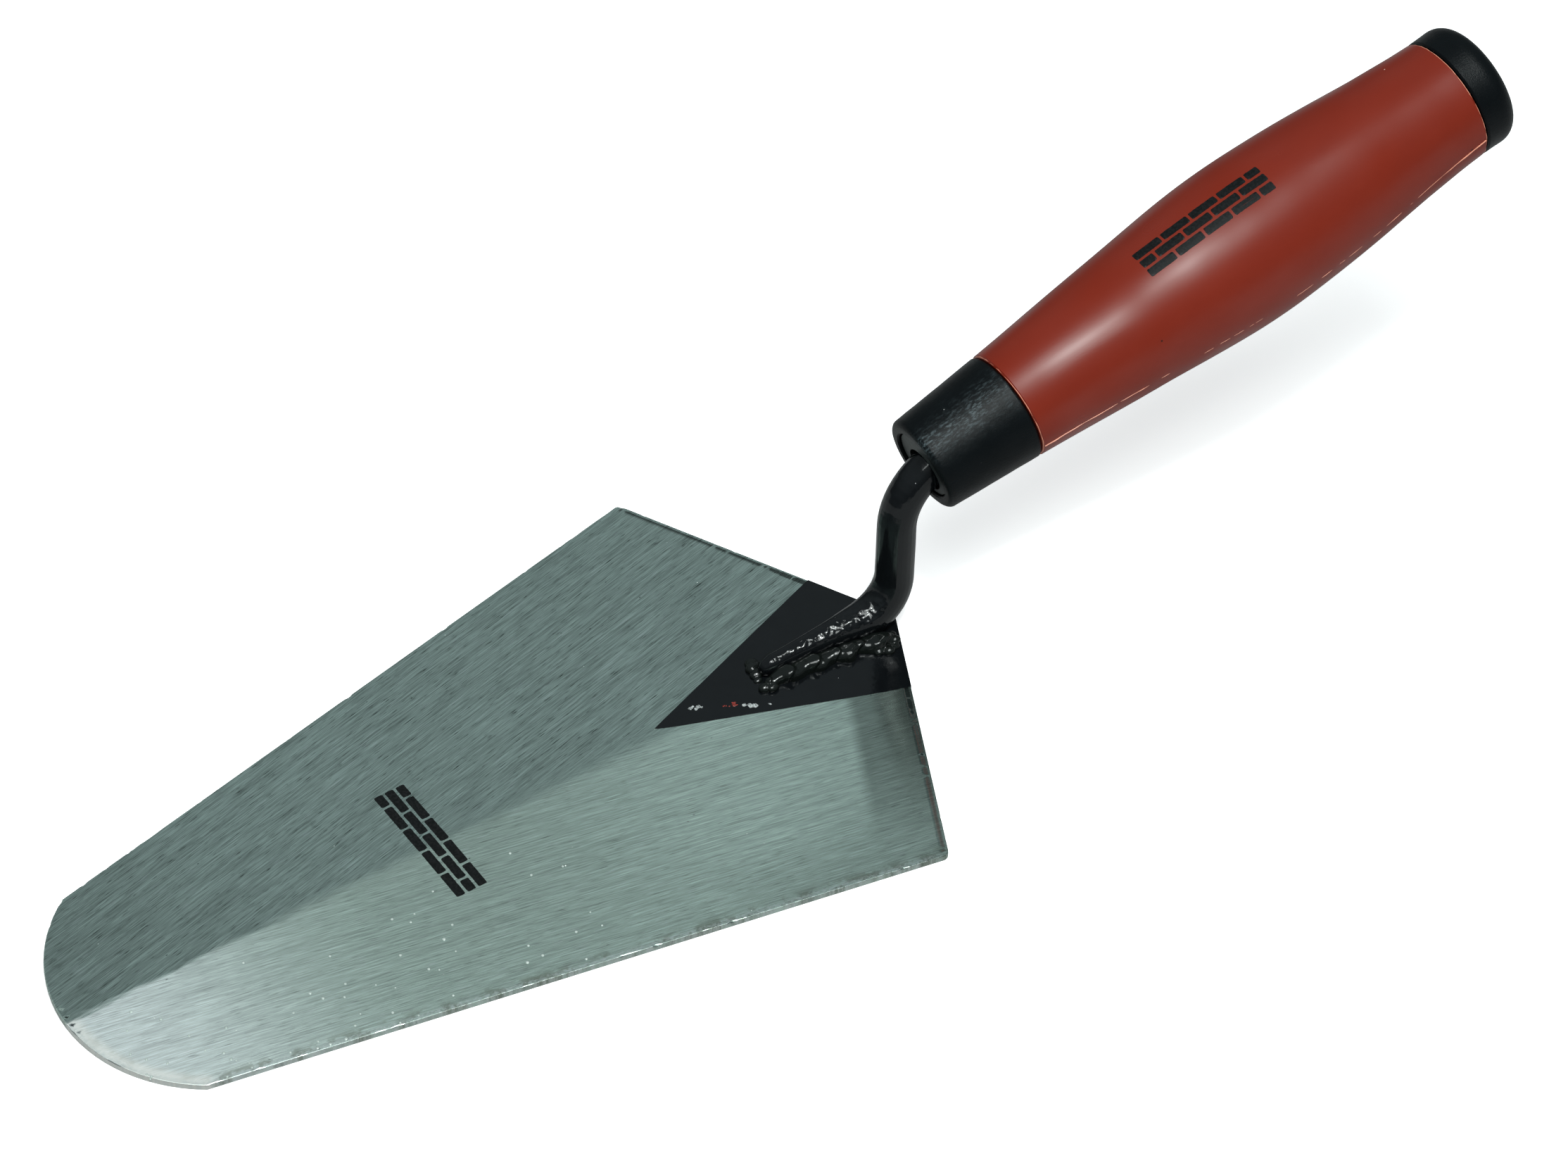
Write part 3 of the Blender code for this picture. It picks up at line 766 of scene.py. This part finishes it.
def ink_material():
    """Matte black printing ink, slightly patchy."""
    shader = Shader("printed_ink")
    patch = shader.noise(0.5, 3, 0.7)
    thin = shader.ramp(patch, 0.35, 0.8)
    return shader.finish(
        Base_Color=shader.mix(thin, (0.003, 0.004, 0.004, 1), (0.013, 0.013, 0.014, 1)),
        Roughness=0.45,
        Specular_IOR_Level=0.12,
        Normal=shader.bump(patch, 0.02 * MM),
    )


def flake_material(name, colour):
    """Dry paint flakes stuck to the lacquer."""
    shader = Shader(name)
    crumb = shader.noise(0.3, 3, 0.7)
    dark = tuple(channel * 0.25 for channel in colour)
    mixed = shader.mix(shader.ramp(crumb, 0.4, 0.65), (*dark, 1), (*colour, 1))
    return shader.finish(Base_Color=mixed, Roughness=0.35, Normal=shader.bump(crumb, 0.1 * MM))


def floor_material():
    """Pale matte floor that glows for the camera, less on the trowel, and looks greyer in its gloss."""
    shader = Shader("pale_floor")
    tooth = shader.noise(400)
    path = shader.add("ShaderNodeLightPath").outputs
    pale = shader.mix(tooth, grey(0.79), grey(0.81))
    glow = shader.linear(path["Is Camera Ray"], FLOOR_GLOW - FLOOR_BOUNCE, FLOOR_BOUNCE)
    return shader.finish(
        Base_Color=shader.mix(path["Is Glossy Ray"], pale, grey(FLOOR_MIRRORED)),
        Roughness=0.9,
        Specular_IOR_Level=0.1,
        Emission_Color=grey(1.0),
        Emission_Strength=glow,
    )


# Blade


def blade_outline():
    """The blade's outline seen from above, dense and anticlockwise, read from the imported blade."""
    points = node_points("blade")
    low = np.unique(np.round(points[points[:, 2] < 0.1 * MM, :2], 7), axis=0)
    middle = low.mean(axis=0)
    low = low[np.argsort(np.arctan2(low[:, 1] - middle[1], low[:, 0] - middle[0]))]
    dense = []
    for start, end in zip(low, np.roll(low, -1, axis=0)):
        steps = max(1, round(np.linalg.norm(end - start) / OUTLINE_STEP))
        dense.extend(start + (end - start) * i / steps for i in range(steps))
    return np.array(dense)


def blade_top(xy):
    """Height of the blade's upper side, with the ridge along its centreline softened."""
    points = node_points("blade")
    upper = points[points[:, 2] > 0.5 * MM]
    ridge = upper[:, 2].max()
    shoulder = upper[np.argmax(upper[:, 0])]
    toe = upper[np.argmin(upper[:, 1])]
    side_slope = (ridge - shoulder[2]) / shoulder[0]
    toe_slope = (ridge - toe[2]) / -toe[1]
    across = np.sqrt(xy[:, 0] ** 2 + RIDGE_SOFTNESS**2) - RIDGE_SOFTNESS
    return ridge + toe_slope * np.minimum(xy[:, 1], 0) - side_slope * across


def inner_points(outline):
    """Points for the blade's surface: rows that follow the outline, then an even grid."""
    normals = outward(outline)
    found = []
    for inset, every in FOLLOWING_ROWS:
        row = (outline - normals * inset)[::every]
        found.append(row[distance_to(row, closed(outline)) > inset * 0.97])
    low, high = outline.min(axis=0), outline.max(axis=0)
    columns = np.arange(low[0], high[0], BLADE_GRID)
    lines = np.arange(low[1], high[1], BLADE_GRID)
    found.append(grid_inside(outline, columns - columns.mean(), lines, GRID_INSET))
    return np.concatenate(found)


def edge_rows(outline):
    """Rows of the rim as (inset, height): ground square, with a burr and small nicks along its top."""
    top = blade_top(outline)
    at = np.column_stack([outline, np.zeros(len(outline))])
    nick = np.clip(noise_at(at, 1.1 * MM, 1) - 0.38, 0, 1) * 0.5 * MM
    nick = nick + np.clip(noise_at(at, 5 * MM, 2) - 0.4, 0, 1) * 0.15 * MM
    burr = 0.006 * MM + bumps(at, (0.012, 2.2, 3))
    wall = bumps(at, (0.04, 1.7, 4))
    zero = np.zeros(len(outline))
    return [
        (zero + 0.3 * MM, zero),
        (zero + 0.06 * MM, zero + 0.05 * MM),
        (wall + 0.02 * MM, top * 0.35),
        (wall * 0.5 + 0.02 * MM, top * 0.7),
        (nick * 0.5 + 0.02 * MM, top - 0.16 * MM - nick),
        (nick + 0.09 * MM, top - 0.03 * MM + burr - nick * 0.5),
        (nick + 0.2 * MM, top + burr),
        (nick * 0.8 + 0.32 * MM, top + burr * 0.15),
        (zero + RIM_INSET, blade_top(outline - outward(outline) * RIM_INSET)),
    ]


def build_blade(material):
    outline = blade_outline()
    normals = outward(outline)
    rows = edge_rows(outline)
    rings = [outline - normals * inset[:, None] for inset, _ in rows]
    count = len(outline)
    last = (len(rows) - 1) * count
    inner = inner_points(outline)
    faces = bands(0, count, len(rows))
    faces.extend([last + i for i in face] for face in filled(rings[-1], inner))
    faces.extend(face[::-1] for face in filled(rings[0], np.empty((0, 2))))
    vertices = [np.column_stack([ring, height]) for ring, (_, height) in zip(rings, rows)]
    vertices.append(np.column_stack([inner, blade_top(inner)]))
    vertices = np.concatenate(vertices)
    mesh = mesh_from(vertices, faces)
    store_values(mesh, "edge_distance", distance_to(vertices[:, :2], closed(outline)))
    nose = outline[outline[:, 1] < outline[:, 1].min() + NOSE_LENGTH]
    nose = nose[np.argsort(nose[:, 0])]
    store_values(mesh, "nose_distance", distance_to(vertices[:, :2], nose))
    add_piece("blade_sheet", mesh, material, ["blade"])


def build_droplets(material):
    """Small dried drops of clear lacquer on the near half, thickest towards the nose."""
    rng = np.random.default_rng(17)
    outline = blade_outline()
    places = []
    for _ in range(DROPLETS):
        y = outline[:, 1].min() + 6 * MM + DROPLET_REACH * rng.uniform() ** 1.2
        edge = outline[np.abs(outline[:, 1] - y) < 2 * MM, 0].max()
        x = edge * (1 - 0.8 * rng.uniform() ** 1.8) - MM
        radius = rng.uniform(0.16, 0.36) * MM
        places.append(squashed((x, y, blade_top(np.array([(x, y)]))[0]), (radius, radius, radius * 0.45)))
    add_piece("dried_drops", balls(places, 2), material)


def ragged_edge(start, end, raggedness):
    """Points from start up to end, wavering across the line between them."""
    span = end - start
    steps = round(np.linalg.norm(span) / LACQUER_STEP)
    across = unit(np.array((-span[1], span[0])))
    points = []
    for t in np.arange(steps) / steps:
        at = start + span * t
        place = np.array([(*at, 0)])
        wave = noise_at(place, 1.1 * MM, 5)[0] + 1.4 * noise_at(place, 6 * MM, 6)[0]
        points.append(at + across * wave * raggedness * min(1, 12 * t * (1 - t)))
    return points


def lacquer_outline(outline):
    """The kite of lacquer on the heel, anticlockwise: two ragged inner edges, then the blade's rim."""
    heel_y = outline[:, 1].max()
    rim_y = heel_y * (1 - LACQUER_HALF_WIDTH / outline[:, 0].max())
    apex = np.array(LACQUER_APEX)
    points = ragged_edge(np.array((-LACQUER_HALF_WIDTH, rim_y)), apex, 0.12 * MM)
    points += ragged_edge(apex, np.array((LACQUER_HALF_WIDTH, rim_y)), 0.3 * MM)
    rim = outline[(outline[:, 1] > rim_y) & (np.abs(outline[:, 0]) < LACQUER_HALF_WIDTH)]
    points.extend(rim[np.argsort(-rim[:, 0])] * (1 + LACQUER_COAT / heel_y))
    return np.array(points)


def slab(outline, extra, bottom, top, rounding):
    """Closed sheet over an anticlockwise outline, from a flat bottom to top(xy), with a soft upper edge."""
    count = len(outline)
    inset = outline - outward(outline) * rounding
    rows = [
        np.column_stack([outline, np.full(count, bottom)]),
        np.column_stack([outline, top(outline) - rounding]),
        np.column_stack([inset, top(inset)]),
        np.column_stack([extra, top(extra)]),
    ]
    faces = bands(0, count, 3)
    faces.extend([2 * count + i for i in face] for face in filled(inset, extra))
    faces.append(list(reversed(range(count))))
    return mesh_from(np.concatenate(rows), faces)


def build_lacquer(material):
    """The lacquer coat over the blade's heel, which also covers the rim there."""
    outline = lacquer_outline(blade_outline())

    def top(xy):
        flat = np.column_stack([xy, np.zeros(len(xy))])
        return blade_top(xy) + LACQUER_COAT + bumps(flat, (0.012, 3, 8))

    low, high = outline.min(axis=0), outline.max(axis=0)
    grid = grid_inside(outline, np.arange(low[0], high[0], MM), np.arange(low[1], high[1], MM), 0.6 * MM)
    mesh = slab(outline, grid, LACQUER_BOTTOM, top, 0.03 * MM)
    add_piece("heel_lacquer", mesh, material)


def build_flakes():
    """Crumbs of dry paint on the lacquer, near its apex on the near side."""
    rng = np.random.default_rng(11)
    white = flake_material("pale_flakes", (0.55, 0.58, 0.58))
    red = flake_material("red_flakes", (0.30, 0.03, 0.02))
    for name, is_red, centre, spread, count, size in FLAKES:
        places = []
        for _ in range(count):
            along = rng.normal(0, spread)
            place = np.array(centre) + along * np.array((0.45, 0.9)) + rng.normal(0, 0.35 * MM, 2)
            height = blade_top(place[None])[0] + LACQUER_COAT
            radii = size * rng.uniform(0.4, 1.2, 3) * (1, 1, 0.25)
            places.append(squashed((*place, height), radii, rng.uniform(0, math.pi)))
        mesh = remeshed(balls(places, 2), 0.09 * MM, 1)
        displace(mesh, lambda points, normals: bumps(points, (0.09, 0.3, 9)))
        add_piece(name, mesh, red if is_red else white)


# Neck and welds


def hammered(points, normals):
    """How strongly the forging is hammered: most along the top of the foot, fading round the bend."""
    low = smoothstep(22 * MM, 14 * MM, points[:, 2]) * smoothstep(29 * MM, 24 * MM, points[:, 1])
    crest = np.array((0.42, -0.1, 0.9))
    share = smoothstep(-6 * MM, 20 * MM, points[:, 1])
    return low * smoothstep(0.93 - 0.25 * share, 0.98 - 0.11 * share, normals @ crest)


def neck_relief(points, normals):
    """Forged skin: slow waves everywhere, and hammered facets along the top of the foot."""
    facets = bumps(points, (0.17, 0.85, 13), (0.119, 1.7, 14))
    return bumps(points, (0.05, 7, 12)) + facets * hammered(points, normals)


def build_neck(material):
    mesh = remeshed(frame["nodes"]["neck_tang"].data.copy(), 0.2 * MM, 5)
    store_values(mesh, "hammered", hammered(points_of(mesh), normals_of(mesh)))
    displace(mesh, neck_relief)
    add_piece("neck_forging", mesh, material, ["neck_tang"])


def bead_path(name):
    """Stations of a CAD weld bead, toe to heel: rows of (middle x, y, width, top z)."""
    points = node_points(name)
    rows = []
    for y in np.unique(np.round(points[:, 1], 5)):
        ring = points[np.abs(points[:, 1] - y) < 0.02 * MM]
        low, high = ring[:, 0].min(), ring[:, 0].max()
        rows.append(((low + high) / 2, y, high - low, ring[:, 2].max()))
    return np.array(rows)


def weld_rings(path, base, seed, scale):
    """Rings of a weld bead made of overlapping crescents, each one humped towards the heel."""
    toe_y, heel_y = path[0, 1], path[-1, 1]
    y = np.arange(toe_y, heel_y, WELD_STEP)[:, None]
    middle, width, top = (np.interp(y, path[:, 1], path[:, k]) for k in (0, 2, 3))
    turn = np.linspace(0, math.pi, WELD_COLUMNS)[None, :]
    across = np.sign(np.cos(turn)) * np.abs(np.cos(turn)) ** WELD_FLATNESS
    up = np.sin(turn) ** WELD_FLATNESS
    wander = WELD_WANDER * noise_at(np.column_stack([0 * y, y, 0 * y]), 5 * MM, seed)[:, None]
    phase = (y - toe_y - WELD_BOW * (1 - across**2)) / WELD_PITCH + wander
    lobe = phase - np.floor(phase)
    hump = smoothstep(0, 0.7, lobe) * smoothstep(1, 0.88, lobe)
    ends = np.clip(np.minimum(y - toe_y, heel_y - y) / WELD_END, 0, 1)
    size = scale * (WELD_THIN + WELD_HUMP * hump) * np.sqrt(0.02 + 0.98 * (1 - (1 - ends) ** 2))
    x = middle - np.sign(middle) * WELD_LEAN + width / 2 * WELD_SPREAD * across * size
    z = base - WELD_SINK + (top - base + WELD_SINK) * up * size
    return np.stack(np.broadcast_arrays(x, y, z), axis=-1)


def build_weld(name, node, seed, scale, lumps, material):
    """Weld bead with extra lumps, all under one skin of lacquer."""
    base = blade_top(np.zeros((1, 2)))[0]
    bead = tube(weld_rings(bead_path(node), base, seed, scale))
    places = []
    for x, y, height, radius in lumps:
        radii = (radius * MM, radius * 1.25 * MM, radius * 0.85 * MM)
        places.append(squashed((x * MM, y * MM, base + height * MM), radii))
    mesh = remeshed(balls(places, 3, bead), 0.13 * MM, 2)
    displace(mesh, lambda points, normals: bumps(points, (0.20, 2.0, seed), (0.07, 1.0, seed + 1)))
    add_piece(name, mesh, material, [node])


# Handle


def build_core(material):
    core = frame["nodes"]["handle_core"].data
    core.materials.clear()
    core.materials.append(material)


def build_collar(material):
    mesh = turned("front_collar", 0.55 * MM, (0.035, 2.4, 21))
    offset = points_of(mesh) - ORIGIN
    angle = np.arctan2(offset @ UP, offset[:, 0])
    # mask for the painted highlight band on the collar's upper side
    store_values(mesh, "highlight_band", np.exp(-(((angle - HIGHLIGHT_BAND_ANGLE) / HIGHLIGHT_BAND_SPREAD) ** 2)))
    add_piece("collar_moulding", mesh, material, ["front_collar"])


def build_grip(material):
    mesh = turned("grip_sleeve", 0.8 * MM, (0.05, 11, 22))
    add_piece("grip_skin", mesh, material, ["grip_sleeve"])


def build_cap(material):
    mesh = turned("end_cap", 0.5 * MM)
    add_piece("cap_moulding", mesh, material, ["end_cap"])


def outer_radius(lengths):
    """Outer radius of the grip at each length."""
    profile = refined(profile_of("grip_sleeve"), 1 * MM)
    outer = profile[profile[:, 1] > np.interp(profile[:, 0], *sleeve_middle(profile))]
    outer = outer[np.argsort(outer[:, 0])]
    return np.interp(lengths, outer[:, 0], outer[:, 1])


def sleeve_middle(profile):
    """Lengths and the radius halfway through the sleeve's wall there."""
    bins = np.linspace(profile[:, 0].min(), profile[:, 0].max(), 24)
    middles = []
    for low, high in zip(bins, bins[1:]):
        inside = profile[(profile[:, 0] >= low) & (profile[:, 0] <= high), 1]
        middles.append((inside.min() + inside.max()) / 2)
    return (bins[:-1] + bins[1:]) / 2, middles


def thread_corners(half_width, sink, crown):
    """Section of a thread of flash: (across, rise, share of the thread's own height) for each corner."""
    near = half_width * crown
    return (-half_width, -sink, 0), (-near, 0, 1), (near, 0, 1), (half_width, -sink, 0)


def build_flash(name, side, material, seed):
    """Thin ragged line of moulding flash along one side of the grip, broken in places."""
    grip = profile_of("grip_sleeve")[:, 0]
    start, end = grip.min() + 0.3 * MM, grip.max() - 0.2 * MM
    lengths = np.arange(start, end, FLASH_STEP)
    drop = np.interp(lengths, *FLASH_DROP)
    angle = -drop if side > 0 else math.pi + drop
    at = handle_point(lengths, 15 * MM, angle)
    height = 0.01 * MM + bumps(at, (0.11, 2.5, seed), (0.05, 9, seed + 1))
    from_end = np.minimum(lengths - start, end - lengths)
    height = np.maximum(height + 0.16 * MM * smoothstep(12 * MM, 3 * MM, from_end), -0.1 * MM)
    radius = outer_radius(lengths)
    wander = bumps(at, (0.12, 6, seed + 2))
    rows = []
    for across, rise, share in thread_corners(0.15 * MM, 0.25 * MM, 0.5):
        turn = angle + (across + wander) / radius
        rows.append(handle_point(lengths, radius + rise + share * height, turn))
    add_piece(name, tube(np.stack(rows, axis=1)), material)


def build_joint_flash(name, length, material, seed):
    """Ragged thread of flash round the grip, where it was moulded against the piece before or after it."""
    angles = np.arange(2 * AROUND) * math.pi / AROUND
    radius = float(outer_radius(np.array([length]))[0])
    at = handle_point(length, radius, angles)
    height = 0.05 * MM + bumps(at, (0.14, 1.6, seed), (0.10, 8, seed + 1))
    height = np.maximum(height, -0.04 * MM)
    rows = []
    for ahead, rise, share in thread_corners(0.13 * MM, 0.3 * MM, 0.4):
        rows.append(handle_point(length + ahead, radius + rise + share * height, angles))
    add_piece(name, tube(np.stack(rows, axis=1), joined=True), material)


# Printed motif


def brick_motif():
    """Generic printed motif: a short stretch of brick bond, as (left, bottom, width, height) in mm."""
    pitch = BRICK_WIDTH + BRICK_JOINT
    end = 4 * pitch + BRICK_WIDTH / 2
    bricks = []
    for course in range(COURSES):
        shift = -BRICK_WIDTH / 2 if course % 2 else 0
        for i in range(5):
            left = max(0, i * pitch + shift)
            width = min(end, i * pitch + shift + BRICK_WIDTH) - left
            if width > 1:
                bricks.append((left, course * (BRICK_HEIGHT + BRICK_JOINT), width, BRICK_HEIGHT))
    return bricks


def rounded_rectangle(left, bottom, width, height, radius, rng):
    """Corner-rounded outline in mm, with slightly uneven edges."""
    near, far = left + radius, left + width - radius
    low, high = bottom + radius, bottom + height - radius
    points = []
    for x, y, first in ((far, low, -90), (far, high, 0), (near, high, 90), (near, low, 180)):
        for step in range(4):
            t = math.radians(first + 30 * step)
            points.append((x + radius * math.cos(t), y + radius * math.sin(t)))
    dense = []
    for start, end in zip(points, points[1:] + points[:1]):
        steps = max(1, round(math.dist(start, end) / 0.35))
        for i in range(steps):
            t = i / steps
            dense.append([start[k] + (end[k] - start[k]) * t + rng.normal(0, 0.018) for k in (0, 1)])
    return dense


def printed(name, place, material, seed):
    """The motif as thin raised ink. place(x, y, height) puts motif millimetres on a surface."""
    rng = np.random.default_rng(seed)
    vertices = []
    faces = []
    for brick in brick_motif():
        outline = np.array(rounded_rectangle(*brick, BRICK_CORNER, rng))
        middle = outline.mean(axis=0)
        count = len(outline)
        first = sum(len(row) for row in vertices)
        last = first + (len(INK_RINGS) - 1) * count
        for scale, height in INK_RINGS:
            ring = middle + (outline - middle) * scale
            vertices.append(place(ring[:, 0], ring[:, 1], height * MM))
        faces.extend(bands(first, count, len(INK_RINGS)))
        faces.append([first + i for i in reversed(range(count))])
        faces.append([last + i for i in range(count)])
    add_piece(name, mesh_from(np.concatenate(vertices), faces), material)


def on_grip(x, y, height):
    lengths = PRINT_LENGTH + x * MM
    radius = outer_radius(lengths)
    return handle_point(lengths, radius + height, PRINT_ANGLE + y * MM / radius)


def on_blade(x, y, height):
    across = np.column_stack([PRINT_ON_BLADE[0] - x * MM, PRINT_ON_BLADE[1] + y * MM])
    return np.column_stack([across, blade_top(across) + height])


# Studio


def add_floor():
    size = FLOOR_HALF_SIZE
    corners = ((-size, -size), (size, -size), (size, size), (-size, size))
    mesh = bpy.data.meshes.new("floor")
    mesh.from_pydata([(x, y, -FLOOR_DROP) for x, y in corners], [], [(0, 1, 2, 3)])
    mesh.materials.append(floor_material())
    new_object("floor", mesh)


def add_sky():
    """Sky that is bright overhead and dim at the horizon. The camera itself sees it pale all over."""
    shader = Shader("sky", world=True)
    seen = shader.add("ShaderNodeLightPath").outputs["Is Camera Ray"]
    height = shader.split(shader.place)[2]
    light = shader.ramp(height, 0, SKY_TOP, SKY_STRENGTH * HORIZON_SHARE, SKY_STRENGTH)
    bpy.context.scene.world = shader.finish(
        Strength=shader.linear(seen, shader.math("SUBTRACT", BACKDROP, light), light),
        Color=shader.mix(seen, SKY_COLOUR, grey(1.0)),
    )


def add_softbox(name, size, distance, power):
    light = bpy.data.lights.new(name, "AREA")
    light.shape = "SQUARE"
    light.size = size
    light.energy = power
    light.color = SOFTBOX_COLOUR
    softbox = new_object(name, light)
    softbox.location = SOFTBOX_DIRECTION * distance
    softbox.rotation_euler = SOFTBOX_DIRECTION.to_track_quat("Z", "Y").to_euler()


def add_camera():
    back = Vector((
        math.sin(CAMERA_AZIMUTH) * math.cos(CAMERA_ELEVATION),
        -math.cos(CAMERA_AZIMUTH) * math.cos(CAMERA_ELEVATION),
        math.sin(CAMERA_ELEVATION),
    ))
    level = Vector((math.cos(CAMERA_AZIMUTH), math.sin(CAMERA_AZIMUTH), 0))
    right = Matrix.Rotation(CAMERA_ROLL, 3, back) @ level
    axes = Matrix((right, back.cross(right), back)).transposed()
    data = bpy.data.cameras.new("camera")
    data.sensor_width = SENSOR
    data.lens = LENS
    camera = new_object("camera", data)
    camera.matrix_world = Matrix.Translation(CAMERA_TARGET + back * CAMERA_DISTANCE) @ axes.to_4x4()
    bpy.context.scene.camera = camera


def build_trowel():
    lacquer = lacquer_material("black_lacquer", 0.11, 0.03 * MM, (0.0045, 0.0055, 0.0065, 1))
    weld = lacquer_material("lacquered_weld", 0.12, 0.05 * MM, (0.0070, 0.0092, 0.0074, 1))
    rubber = rubber_material()
    grip = grip_material("red_grip", (0.149, 0.0132, 0.0054, 1), (0.182, 0.0180, 0.0076, 1))
    flash = grip_material("grip_flash", (0.50, 0.17, 0.11, 1), (0.70, 0.30, 0.20, 1))
    ink = ink_material()
    build_blade(steel_material())
    build_droplets(drop_material())
    build_lacquer(lacquer)
    build_flakes()
    build_neck(lacquer)
    build_weld("weld_left", "weld_bead_left", 31, LEFT_SCALE, LEFT_LUMPS, weld)
    build_weld("weld_right", "weld_bead_right", 41, 1.0, RIGHT_LUMPS, weld)
    build_core(plastic_material())
    build_collar(rubber)
    build_grip(grip)
    build_cap(rubber)
    build_flash("flash_right", 1, flash, 51)
    build_flash("flash_left", -1, flash, 61)
    grip_ends = profile_of("grip_sleeve")[:, 0]
    build_joint_flash("joint_flash_front", grip_ends.min() + 0.15 * MM, flash, 91)
    build_joint_flash("joint_flash_rear", grip_ends.max() - 0.15 * MM, flash, 92)
    printed("grip_print", on_grip, ink, 71)
    printed("blade_print", on_blade, ink, 81)


build_trowel()
add_floor()
add_sky()
add_softbox("softbox", SOFTBOX_SIZE, SOFTBOX_DISTANCE, SOFTBOX_POWER)
add_softbox("spark", SPARK_SIZE, SPARK_DISTANCE, SPARK_POWER)
add_camera()
bpy.context.scene.view_settings.view_transform = "Standard"
